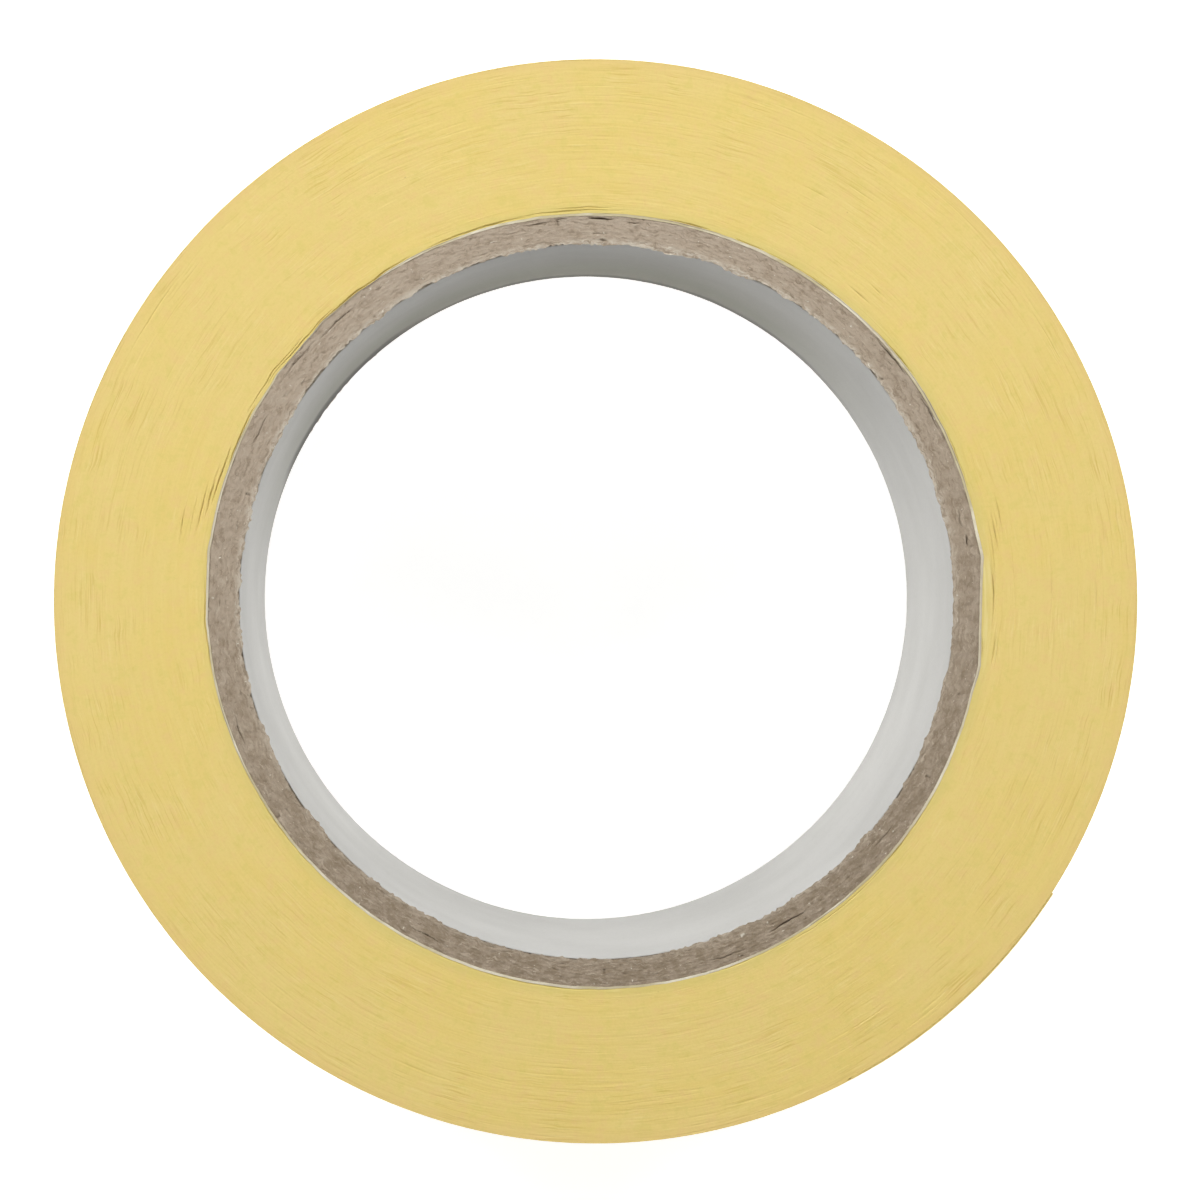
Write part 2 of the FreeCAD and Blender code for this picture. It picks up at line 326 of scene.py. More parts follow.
def tape_edge_material():
    """The cut edges of many turns: short wavering streaks along the turns, paper grain, soft blotches, specks."""
    m = Nodes("tape_cut_edge")
    p = m.point()
    sway = m.math("MULTIPLY", m.math("SUBTRACT", m.noise(p, 0.16, 3.0, 0.5), 0.5), 1.1)
    v1, r = m.polar(p, 5.8, 58, 0.0, sway)
    v2, _ = m.polar(p, 1.3, 26, 0.0, sway)
    v3, _ = m.polar(p, 7.0, 110, 0.0, sway)
    crowd = m.span(m.noise(p, 0.16, 2.0, 0.5), 0.42, 0.62, 0.15, 1.0)
    outer = m.span(r, 44.0, 56.0, 0.55, 1.0)
    dark = m.math("MULTIPLY", m.span(m.noise(v1, 1.0, 2.0, 0.6), 0.53, 0.68), m.math("MULTIPLY", outer, crowd))
    pale = m.math("MULTIPLY", m.span(m.noise(v3, 1.0, 2.0, 0.5), 0.54, 0.70), crowd)
    broad = m.span(m.noise(v2, 1.0, 3.0, 0.55), 0.32, 0.68)
    grain = m.noise(p, 3.4, 4.0, 0.65)
    blotch = m.noise(p, 0.75, 3.0, 0.6)
    patch = m.noise(p, 0.11, 2.0, 0.5)
    color = m.mix(m.math("MULTIPLY", broad, 0.6), YELLOW, (0.637, 0.496, 0.168))
    color = m.mix(m.span(patch, 0.38, 0.62, 0.0, 0.45), color, (0.618, 0.482, 0.177))
    color = m.mix(m.span(blotch, 0.50, 0.70, 0.0, 0.60), color, (0.627, 0.444, 0.168))
    color = m.mix(m.span(blotch, 0.48, 0.30, 0.0, 0.50), color, (0.556, 0.453, 0.124))
    color = m.mix(m.math("MULTIPLY", dark, 0.58), color, YELLOW_DEEP)
    color = m.mix(m.math("MULTIPLY", pale, 0.32), color, YELLOW_PALE)
    color = m.mix(m.span(grain, 0.44, 0.74, 0.0, 0.20), color, (0.519, 0.388, 0.115))
    # a greener shade next to the core, a pinker one at the rim
    near = m.span(m.math("ADD", r, m.math("MULTIPLY", sway, 1.2)), 43.0, 41.5, 0.0, 0.42)
    color = m.mix(near, color, (0.490, 0.425, 0.133))
    color = m.mix(m.span(r, 56.2, 57.9, 0.0, 0.35), color, (0.604, 0.425, 0.164))
    speck = m.math("MULTIPLY", m.span(m.voronoi(p, 0.33), 0.0, 0.05, 1.0, 0.0), m.span(m.noise(p, 0.9, 1.0), 0.64, 0.68))
    color = m.mix(m.math("MULTIPLY", speck, 0.5), color, (0.311, 0.206, 0.053))
    # recessed turns catch less light and show more of the adhesive; the value comes with the relief
    color = m.mix(m.span(m.attribute("recess"), 0.1, 1.0, 0.0, 0.85), color, (0.240, 0.150, 0.040))
    color = m.mix(m.span(m.attribute("lift"), 0.2, 1.0, 0.0, 0.6), color, (0.688, 0.598, 0.292))
    fine = m.bump(m.noise(v3, 1.0, 3.0, 0.6), 0.12, 0.03)
    fine = m.bump(grain, 0.30, 0.05, fine)
    return m.finish(color, m.span(grain, 0.3, 0.7, 0.60, 0.76), fine, 0.3)


def crepe_material(name, attribute=None):
    """The tape's paper backing: crepe wrinkles across the strip, mottled pale yellow, satin. The tail bends, so
    its pattern is read from where its points lie at rest."""
    m = Nodes(name)
    p = m.point(attribute)
    x, y, z = m.split(p)
    r = m.math("SQRT", m.math("ADD", m.math("MULTIPLY", x, x), m.math("MULTIPLY", y, y)))
    c, s = m.math("DIVIDE", x, r), m.math("DIVIDE", y, r)
    k = 57.9
    wrinkle_at = m.join(m.math("MULTIPLY", c, k * 2.4), m.math("MULTIPLY", s, k * 2.4), m.math("MULTIPLY", z, 0.33))
    cross_at = m.join(m.math("MULTIPLY", c, k * 0.25), m.math("MULTIPLY", s, k * 0.25), m.math("MULTIPLY", z, 0.16))
    spot = m.join(m.math("MULTIPLY", c, k), m.math("MULTIPLY", s, k), z)
    wrinkle = m.noise(wrinkle_at, 1.0, 4.0, 0.62, 0.35)
    broad = m.noise(cross_at, 1.0, 3.0, 0.5)
    fibre = m.noise(spot, 5.0, 4.0, 0.7)
    color = m.mix(m.span(broad, 0.32, 0.68), (0.622, 0.482, 0.155), (0.665, 0.528, 0.199))
    color = m.mix(m.span(wrinkle, 0.36, 0.62, 0.4, 0.0), color, (0.481, 0.341, 0.084))
    color = m.mix(m.span(wrinkle, 0.55, 0.78, 0.0, 0.4), color, (0.726, 0.598, 0.274))
    color = m.mix(m.span(fibre, 0.5, 0.8, 0.0, 0.22), color, (0.528, 0.402, 0.128))
    n = m.bump(wrinkle, 0.55, 0.10)
    n = m.bump(fibre, 0.25, 0.03, n)
    return m.finish(color, m.span(wrinkle, 0.3, 0.7, 0.46, 0.62), n, 0.4)


def adhesive_material(attribute=None):
    m = Nodes("tape_adhesive_coat")
    p = m.point(attribute)
    x, y, z = m.split(p)
    wrinkle = m.noise(m.join(m.math("MULTIPLY", x, 2.0), m.math("MULTIPLY", y, 0.4), z), 1.0, 3.0, 0.6, 0.3)
    fibre = m.noise(p, 4.0, 4.0, 0.65)
    color = m.mix(m.span(wrinkle, 0.35, 0.68), (0.545, 0.395, 0.120), (0.655, 0.510, 0.185))
    color = m.mix(m.span(fibre, 0.5, 0.75, 0.0, 0.3), color, (0.730, 0.600, 0.290))
    n = m.bump(wrinkle, 0.35, 0.06)
    return m.finish(color, m.span(fibre, 0.3, 0.7, 0.2, 0.34), n, 0.5)


def board_material():
    """Cut chipboard: matted torn fibres running round the core, a few pits, pale and dark flecks."""
    m = Nodes("core_cut_chipboard")
    p = m.point()
    sway = m.math("MULTIPLY", m.math("SUBTRACT", m.noise(p, 0.7, 3.0, 0.6), 0.5), 1.6)
    strands, r = m.polar(p, 3.4, 170, 0.0, sway)
    torn, _ = m.polar(p, 6.5, 420, 1.5, sway)
    x, y, z = m.split(p)
    # painted light and shade: the board's colour is lightest at the upper left and darkest at the bottom, as the lamps
    # fall on it
    turn = m.math("ADD", m.math("MULTIPLY", m.math("DIVIDE", x, r), -0.21), m.math("MULTIPLY", m.math("DIVIDE", y, r), 0.87))
    patch = m.noise(p, 0.80, 4.0, 0.66)
    fibre = m.noise(strands, 1.0, 5.0, 0.66, 0.5)
    fine = m.noise(torn, 1.0, 4.0, 0.7, 0.9)
    fleck = m.noise(p, 5.0, 3.0, 0.6)
    color = m.mix(m.span(turn, -0.95, 0.95), (0.218, 0.171, 0.119), (0.345, 0.283, 0.216))
    color = m.mix(m.span(patch, 0.40, 0.66, 0.0, 0.55), color, (0.341, 0.282, 0.216))
    color = m.mix(m.span(patch, 0.50, 0.34, 0.0, 0.45), color, (0.208, 0.159, 0.109))
    color = m.mix(m.span(fibre, 0.34, 0.48, 0.62, 0.0), color, (0.181, 0.137, 0.091))
    color = m.mix(m.span(fibre, 0.53, 0.68, 0.0, 0.70), color, (0.388, 0.328, 0.252))
    color = m.mix(m.span(fine, 0.30, 0.46, 0.30, 0.0), color, (0.168, 0.124, 0.081))
    color = m.mix(m.span(fleck, 0.64, 0.76, 0.0, 0.5), color, (0.478, 0.420, 0.330))
    color = m.mix(m.span(fleck, 0.34, 0.26, 0.0, 0.35), color, (0.133, 0.095, 0.059))
    # painted shade: pits, slits and seam notches darkened nearly to black
    color = m.mix(m.span(m.attribute("recess"), 0.2, 1.0, 0.0, 0.85), color, (0.075, 0.051, 0.031))
    # the pale fibres at the bore edge are painted lighter towards the upper left, as the lamps fall
    rim = m.math("MULTIPLY", m.span(r, 39.0, 38.2), m.span(fibre, 0.42, 0.58, 0.10, 0.85))
    rim = m.math("MULTIPLY", rim, m.span(turn, -0.35, 0.45, 0.30, 1.0))
    color = m.mix(rim, color, (0.475, 0.425, 0.350))
    color = m.mix(m.span(m.attribute("lift"), 0.25, 0.9, 0.0, 0.85), color, (0.60, 0.56, 0.47))
    n = m.bump(fibre, 0.5, 0.10)
    n = m.bump(fine, 0.45, 0.06, n)
    return m.finish(color, m.span(fine, 0.3, 0.7, 0.82, 0.95), n, 0.15)


def paper_material(name, light, dark, grain=0.25, painted_low_shade=False, tinted=None):
    """Smooth uncoated paper with faint fibres and a little scuffing."""
    m = Nodes(name)
    p = m.point()
    x, y, z = m.split(p)
    cloud = m.noise(p, 0.09, 4.0, 0.5)
    fibre = m.noise(p, 2.6, 5.0, 0.7, 0.4)
    scuff, r = m.polar(p, 0.8, 40, 1.2)
    scuff = m.noise(scuff, 1.0, 4.0, 0.6)
    color = m.mix(m.span(cloud, 0.3, 0.7), dark, light)
    if tinted:
        around, _ = m.polar(p, 0.4, 34)
        color = m.mix(m.span(m.noise(around, 1.0, 3.0, 0.6), 0.42, 0.62), color, tinted)
    color = m.mix(m.span(fibre, 0.48, 0.8, 0.0, grain), color, tuple(0.82 * c for c in dark))
    color = m.mix(m.span(scuff, 0.58, 0.8, 0.0, grain), color, tuple(0.9 * c for c in dark))
    if painted_low_shade:  # painted shade: darker towards the low edge on the wall that faces away from the lamps, most of all at the upper left
        low = m.math("ADD", z, m.math("MULTIPLY", m.math("SUBTRACT", m.noise(p, 0.25, 3.0, 0.6), 0.5), 4.0))
        c, k = m.math("DIVIDE", x, r), m.math("DIVIDE", y, r)
        back = m.math("ADD", m.math("MULTIPLY", c, -0.17), m.math("MULTIPLY", k, 0.985))
        left = m.math("ADD", m.math("MULTIPLY", c, -0.766), m.math("MULTIPLY", k, 0.643))
        shade = m.math("MULTIPLY", m.span(low, 50.0, 5.0), m.span(back, 0.2, 0.95, 0.0, 0.86))
        color = m.mix(shade, color, (0.236, 0.228, 0.172))
        # painted shadow: a near-black band along the lowest few millimetres at the back
        edge = m.math("MULTIPLY", m.span(low, 5.5, 2.2), m.span(back, 0.30, 0.80, 0.0, 0.68))
        color = m.mix(edge, color, (0.085, 0.085, 0.075))
        # painted shadow: a near-black band low on the wall at the upper left
        edge = m.math("MULTIPLY", m.span(low, 11.0, 5.0), m.span(left, 0.93, 0.985, 0.0, 0.82))
        color = m.mix(edge, color, (0.060, 0.055, 0.045))
    # the recess value darkens the paper: painted shade on the liner's top cut edge; worn and brown patches and a
    # darker outer border on the facing
    color = m.mix(m.span(m.attribute("recess"), 0.1, 1.0, 0.0, 0.85), color, (0.15, 0.115, 0.08))
    n = m.bump(fibre, 0.2, 0.04)
    return m.finish(color, m.span(fibre, 0.3, 0.7, 0.6, 0.75), n, 0.3)


M_EDGE = tape_edge_material()
M_CREPE = crepe_material("tape_crepe_paper")
M_TAIL = crepe_material("tail_crepe_paper", "rest_mm")
M_GLUE = adhesive_material()
M_TAIL_GLUE = adhesive_material("rest_mm")
M_BOARD = board_material()
M_LINER = paper_material("core_liner_paper", (0.552, 0.546, 0.525), (0.513, 0.507, 0.486), painted_low_shade=True)
M_FACING = paper_material("core_facing_paper", (0.70, 0.66, 0.53), (0.45, 0.39, 0.28), 0.5, tinted=(0.45, 0.39, 0.24))


# ---------------------------------------------------------------- the pack's cut face
# Open lines between turns: radius (from the facing's border if under 5), from angle, to angle (degrees), width and
# depth in mm, and how dark the line looks.
CRACKS = [
    (0.06, 73.0, 79.5, 0.075, 0.30, 0.85),
    (0.05, 64.0, 69.5, 0.06, 0.25, 0.75),
    (0.08, 57.0, 64.0, 0.05, 0.20, 0.45),
    (0.06, 50.5, 58.0, 0.06, 0.22, 0.70),
    (0.05, 35.0, 44.0, 0.065, 0.22, 0.70),
    (0.05, 14.0, 30.0, 0.05, 0.15, 0.50),
    (0.10, 99.0, 116.0, 0.08, 0.35, 0.80),
    (0.32, 86.0, 102.0, 0.07, 0.30, 0.55),
    (0.62, 88.0, 97.0, 0.055, 0.25, 0.40),
    (0.05, 118.0, 137.0, 0.10, 0.30, 0.85),
    (0.22, 131.0, 147.0, 0.07, 0.30, 0.65),
    (0.48, 137.0, 152.0, 0.06, 0.25, 0.50),
    (0.10, 150.0, 160.0, 0.08, 0.35, 0.70),
    (0.50, 157.0, 166.0, 0.09, 0.40, 0.80),
    (0.95, 160.0, 168.0, 0.075, 0.35, 0.65),
    (43.35, 163.0, 170.0, 0.07, 0.30, 0.60),
    (44.10, 165.0, 171.0, 0.065, 0.25, 0.55),
    (45.05, 167.0, 172.0, 0.06, 0.2, 0.45),
    (0.08, 176.0, 192.0, 0.06, 0.20, 0.50),
    (0.06, 205.0, 226.0, 0.06, 0.12, 0.50),
    (0.06, 238.0, 276.0, 0.07, 0.15, 0.60),
    (0.06, 282.0, 300.0, 0.06, 0.12, 0.50),
    (0.06, 308.0, 334.0, 0.075, 0.18, 0.75),
    (0.30, 296.0, 322.0, 0.06, 0.15, 0.50),
    (0.10, -9.0, -4.0, 0.05, 0.15, 0.45),
    (42.42, -4.5, 7.5, 0.085, 0.18, 0.62),
    (42.66, 0.0, 12.0, 0.075, 0.15, 0.50),
    (43.20, 6.5, 13.5, 0.075, 0.2, 0.65),
    (43.55, 8.0, 14.5, 0.075, 0.15, 0.55),
    (44.00, 9.0, 15.5, 0.075, 0.15, 0.50),
    (42.80, -10.0, -4.5, 0.075, 0.18, 0.60),
    (43.15, -9.5, -5.0, 0.07, 0.15, 0.50),
    (44.70, -5.5, 9.3, 0.08, 0.12, 0.45),
    (48.70, -2.0, 6.0, 0.08, 0.12, 0.45),
    (53.50, -4.0, 5.0, 0.08, 0.12, 0.45),
    (43.15, 47.5, 51.8, 0.075, 0.15, 0.75),
    (44.75, 46.0, 49.4, 0.075, 0.15, 0.70),
    (46.30, 58.0, 61.0, 0.07, 0.12, 0.45),
    (49.60, 60.0, 63.5, 0.07, 0.12, 0.40),
    (51.90, 55.0, 59.0, 0.07, 0.12, 0.40),
    (55.90, 27.0, 34.0, 0.05, 0.12, 0.30),
    (56.40, 141.0, 153.0, 0.05, 0.12, 0.30),
    (52.30, 196.0, 204.0, 0.045, 0.12, 0.25),
    (55.10, 228.0, 238.0, 0.05, 0.12, 0.30),
    (50.10, 262.0, 269.0, 0.045, 0.12, 0.25),
]


def cracks(r, theta):
    """How deep the open lines are at each point, in mm, and how dark."""
    deep = np.zeros(np.broadcast(r, theta).shape)
    dark = np.zeros_like(deep)
    border = facing_border(theta)
    for k, (at, a, b, width, depth, tone) in enumerate(CRACKS):
        mid, half = math.radians((a + b) / 2), math.radians((b - a) / 2)
        d = np.abs(angle_gap(theta, mid)) / half
        near = d < 1
        if not near.any():
            continue
        wander = 0.05 * noise(theta * 0, theta / TAU, 1, 90, 3000 + k) + 0.03 * noise(theta * 0, theta / TAU, 1, 260, 3100 + k)
        open_ = np.clip(1 - d, 0, 1) ** 0.6
        open_ = open_ * (0.75 + 0.25 * noise(theta * 0, theta / TAU, 1, 140, 3200 + k))
        centre = (border + at if at < 5 else at) + wander
        across = np.exp(-(((r - centre) / (width * (0.35 + 0.65 * open_))) ** 2)) * open_
        deep = np.maximum(deep, depth * across)
        dark = np.maximum(dark, tone * across)
    return deep, dark


def face_relief(r, theta, seed):
    """Height of the turns' edges below the roll's face, in mm, 0 at most."""
    sway = 0.22 * noise((r - CORE) / 16.2, theta / TAU, 7, 40, seed + 9)
    u, v = (r + sway - CORE) / (PACK + 0.2 - CORE), theta / TAU
    turn = noise(u, v, 130, 52, seed)
    group = noise(u, v, 44, 24, seed + 1)
    broad = noise(u, v, 9, 7, seed + 2)
    grain = noise(u, v, 130, 520, seed + 3)
    proud = np.clip(noise(u, v, 130, 70, seed + 4) - 0.72, 0, 1) / 0.28
    sunk = np.clip(noise(u, v, 130, 64, seed + 5) - 0.66, 0, 1) / 0.34
    outer = smooth(r, 45, 56)
    h = -0.060 + 0.005 * turn + 0.004 * group + 0.012 * broad + 0.006 * grain
    h = h + 0.018 * proud - 0.035 * sunk * (0.45 + 0.55 * outer)
    return np.minimum(h, 0.0), proud, sunk * (0.45 + 0.55 * outer)


def face_marks(seed_top, seed_bottom):
    """The recess and lift values that go with the relief."""

    def recess(r, theta, z, kinds, along_):
        out = np.zeros(r.shape)
        for i, kind in enumerate(kinds):
            if kind in ("top", "bottom"):
                _, _, sunk = face_relief(r[i], theta[i], seed_top if kind == "top" else seed_bottom)
                dark = cracks(r[i], theta[i] if kind == "top" else -theta[i] + 1.0)[1]
                out[i] = np.maximum(0.28 * sunk, dark)
        return out

    def lift(r, theta, z, kinds, along_):
        out = np.zeros(r.shape)
        for i, kind in enumerate(kinds):
            if kind in ("top", "bottom"):
                out[i] = 0.55 * face_relief(r[i], theta[i], seed_top if kind == "top" else seed_bottom)[1]
            if kind == "top":  # the loose first turns at the right show their pale sides
                loose = smooth(r[i], 41.3, 41.5) * (1 - smooth(r[i], 42.15, 42.4))
                out[i] = np.maximum(out[i], (0.45 + 0.3 * noise(np.clip((r[i] - 41.3) / 1.2, 0, 1), theta[i] / TAU, 5, 90, 3300)) * loose * (1 - smooth(np.abs(angle_gap(theta[i], math.radians(-1.5))), 0.12, 0.20)))
        return out

    return {"recess": recess, "lift": lift}


def tape_ring(name, r_in, r_out, n, top, bottom, node, material=M_EDGE, start=0.0):
    """A ring of wound tape with relief on both cut faces. r_in and r_out are functions of the angle."""

    def up(s, theta):
        r = r_in(theta) + (r_out(theta) - r_in(theta)) * s
        return r, WIDTH + face_relief(r, theta, 100)[0] - cracks(r, theta)[0]

    def down(s, theta):
        r = r_out(theta) + (r_in(theta) - r_out(theta)) * s
        return r, -face_relief(r, theta, 200)[0] + cracks(r, -theta + 1.0)[0]

    def outside(s, theta):
        a, b = up(np.ones_like(theta), theta)[1], down(np.zeros_like(theta), theta)[1]
        return r_out(theta), a + (b - a) * s

    def inside(s, theta):
        a, b = down(np.ones_like(theta), theta)[1], up(np.zeros_like(theta), theta)[1]
        return r_in(theta), a + (b - a) * s

    obj = ring(
        name,
        [("top", top, up), ("outside", 2, outside), ("bottom", bottom, down), ("inside", 2, inside)],
        n,
        face_marks(100, 200),
        start,
    )
    obj.data.materials.append(material)
    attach(obj, "roll")
    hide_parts(node)
    return obj


def constant(r):
    return lambda theta: np.full_like(theta, r)


def spiral(r):
    """Follows the last turn's spiral: one tape thickness out in a turn, from the hinge angle on."""
    return lambda theta: r + TAPE * (((theta - HINGE + 1e-9) / TAU) % 1.0)


SPLIT = 50.25
tape_ring("first_turns", facing_border, constant(FIRST - 0.002), 1440, 28, 10, "tape_first_turns")
tape_ring("wound_pack_inner", constant(FIRST), constant(SPLIT - 0.002), 620, 120, 24, "tape_wound_pack")
tape_ring("wound_pack_outer", constant(SPLIT), spiral(PACK - 0.007), 620, 120, 24, "tape_wound_pack", start=HINGE)


# ---------------------------------------------------------------- the last turn, with its crepe surface
def crepe_height(arc, z, seed):
    """Crepe wrinkles: ridges across the strip, in mm about 0. arc is the length along the strip in mm."""
    length = 363.0
    u, v = z / WIDTH, (arc / length) % 1.0
    a = noise(u, v, 9, 620, seed)
    b = noise(u, v, 17, 1100, seed + 1)
    c = noise(u, v, 5, 130, seed + 2)
    return 0.5 * a + 0.32 * b + 0.18 * c


def last_turn(name, r_low, r_high, crepe, n, rows, node, material):
    """A closed strip bent round the pack. Both faces share the same grid, so that the ends close cleanly."""
    theta = HINGE + TAU * np.arange(n) / (n - 1)
    grow = TAPE * (theta - HINGE) / TAU
    base = PACK + TAPE / 2
    tt, ss = np.meshgrid(theta, np.arange(rows + 1) / rows, indexing="ij")
    low = (0.055 + 0.02 * noise(theta * 0, theta / TAU, 1, 260, 410))[:, None]
    high = (WIDTH - 0.055 - 0.02 * noise(theta * 0, theta / TAU, 1, 260, 411))[:, None]
    zz = low + (high - low) * ss
    g = np.broadcast_to(grow[:, None], tt.shape)
    fall = 1 - smooth(np.abs(zz - WIDTH / 2), WIDTH / 2 - 0.8, WIDTH / 2)
    h = crepe * crepe_height((tt - HINGE) * PACK, zz, 400) * (0.35 + 0.65 * fall)
    outer, inner = base + r_high + g + h, base + r_low + g
    return sheet_solid(name, outer, inner, tt, zz, node, material)


def sheet_solid(name, outer, inner, tt, zz, node, material, centre=(0.0, 0.0), extra=False):
    """A closed solid between two grids of points given by radius, angle and height."""
    a, b = tt.shape
    pts = [
        np.stack([centre[0] + r * np.cos(tt), centre[1] + r * np.sin(tt), zz], -1).reshape(-1, 3) for r in (outer, inner)
    ]
    co = np.concatenate(pts)
    extra = {"rest_mm": co} if extra else None
    m = a * b
    i, j = np.meshgrid(np.arange(a - 1), np.arange(b - 1), indexing="ij")
    p = (i * b + j).ravel()
    front = np.stack([p, p + b, p + b + 1, p + 1], -1)
    back = np.stack([p + m, p + m + 1, p + m + b + 1, p + m + b], -1)
    edges = []
    lo_, hi_ = np.arange(a - 1) * b, np.arange(a - 1) * b + b - 1
    edges.append(np.stack([lo_, lo_ + m, lo_ + m + b, lo_ + b], -1))
    edges.append(np.stack([hi_, hi_ + b, hi_ + b + m, hi_ + m], -1))
    s0, s1 = np.arange(b - 1), (a - 1) * b + np.arange(b - 1)
    edges.append(np.stack([s0, s0 + 1, s0 + 1 + m, s0 + m], -1))
    edges.append(np.stack([s1, s1 + m, s1 + m + 1, s1 + 1], -1))
    quads = np.concatenate([front, back, *edges])
    rim = np.zeros((a, b), bool)
    rim[0, :] = rim[-1, :] = rim[:, 0] = rim[:, -1] = True
    sharp = np.concatenate([rim.ravel(), rim.ravel()])
    obj = make(name, co, quads, extra, sharp)
    obj.data.materials.append(material)
    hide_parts(node)
    return obj


o = last_turn("last_turn_paper", -TAPE / 2 + 0.027, TAPE / 2 - 0.014, 0.026, 1860, 25, "tape_last_turn_paper", M_CREPE)
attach(o, "roll")
o = last_turn("last_turn_adhesive", -TAPE / 2 - 0.005, -TAPE / 2 + 0.025, 0.0, 420, 2, "tape_last_turn_adhesive", M_GLUE)
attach(o, "roll")


# ---------------------------------------------------------------- the core
SEAMS = {1: 38.0, 2: 163.0, 3: 271.0, 4: 332.0, 5: 96.0, 6: 214.0}
# Slits where the plies have parted on the cut face: radius, from angle, to angle, width, depth.
SLITS = [
    (40.90, 87.5, 91.5, 0.085, 0.7),
    (40.55, 83.5, 85.5, 0.05, 0.4),
    (41.00, 94.5, 96.5, 0.045, 0.4),
    (40.75, 97.0, 101.5, 0.05, 0.35),
    (38.60, 88.6, 89.8, 0.10, 0.4),
    (40.05, 8.4, 10.4, 0.070, 0.45),
    (39.80, 11.0, 14.5, 0.045, 0.3),
    (40.90, 26.0, 33.0, 0.05, 0.3),
    (41.00, 36.0, 44.0, 0.055, 0.35),
    (40.75, 129.0, 137.0, 0.055, 0.35),
    (41.05, 137.0, 146.0, 0.06, 0.4),
    (40.40, 150.0, 156.0, 0.045, 0.3),
    (40.60, 197.0, 203.0, 0.045, 0.3),
    (40.10, 240.0, 246.0, 0.045, 0.3),
    (40.40, 287.0, 293.0, 0.05, 0.3),
    (39.90, 297.0, 304.0, 0.065, 0.45),
    (39.70, 318.0, 323.0, 0.045, 0.3),
]


def board_relief(r, theta, seed):
    """Height of the cut board below the face in mm, and its recess and lift values."""
    u, v = (r - 37.6) / 4.4, theta / TAU
    coarse = fractal(u, v, 7, 360, seed, 3)
    fine = fractal(u, v, 22, 1400, seed + 50, 2)
    strand = noise(u, v, 28, 420, seed + 90)
    pit = np.clip(noise(u, v, 13, 520, seed + 130) - 0.80, 0, 1) / 0.20
    tuft = np.clip(noise(u, v, 26, 760, seed + 170) - 0.76, 0, 1) / 0.24
    torn = np.clip(noise(u, v, 24, 640, seed + 180) - 0.35, 0, 1) / 0.65
    tuft = np.maximum(tuft, torn * (1 - smooth(r, 37.9, 38.5)))
    deep = np.zeros_like(r)
    for k, (at, a, b, width, depth) in enumerate(SLITS):
        mid, half = math.radians((a + b) / 2), math.radians((b - a) / 2)
        d = np.abs(angle_gap(theta, mid)) / half
        open_ = np.clip(1 - d, 0, 1) ** 0.6
        wander = 0.09 * noise(theta * 0, v, 1, 260, 3400 + k) + 0.05 * noise(theta * 0, v, 1, 700, 3500 + k)
        deep = np.maximum(deep, depth * open_ * np.exp(-(((r - at - wander) / (width * (0.4 + 0.6 * open_))) ** 2)))
    h = -0.12 + 0.045 * coarse + 0.035 * fine + 0.03 * strand - 0.14 * pit + 0.05 * tuft - deep
    return np.minimum(h, -0.004), np.clip(0.5 * pit + deep / 0.55, 0, 1), tuft


def bore_edge(theta, seed):
    """How far the board's torn inner edge reaches into the bore at the face, in mm; negative where it is chipped."""
    v, zero = theta / TAU, theta * 0
    ragged = 0.16 * noise(zero, v, 1, 46, seed) + 0.17 * noise(zero, v, 1, 210, seed + 1) + 0.12 * noise(zero, v, 1, 760, seed + 2)
    calm = 1 - 0.45 * (1 - smooth(np.abs(angle_gap(theta, 0.0)), 0.25, 0.6))
    return 0.07 - 0.05 * np.cos(theta - math.pi) + calm * ragged


def low_burr(theta, seed):
    """The same at the lower face, where only the upper left is torn and the right has a few nicks."""
    v, zero = theta / TAU, theta * 0
    left = 1 - smooth(np.abs(angle_gap(theta, math.radians(140))), 0.10, 0.26)
    right = 1 - smooth(np.abs(angle_gap(theta, math.radians(4))), 0.10, 0.30)
    rag = 0.5 + 0.5 * noise(zero, v, 1, 300, seed) + 0.3 * noise(zero, v, 1, 800, seed + 1)
    return 0.05 + 0.20 * left * rag + 0.16 * right * np.clip(noise(zero, v, 1, 170, seed + 2) - 0.35, 0, 1)


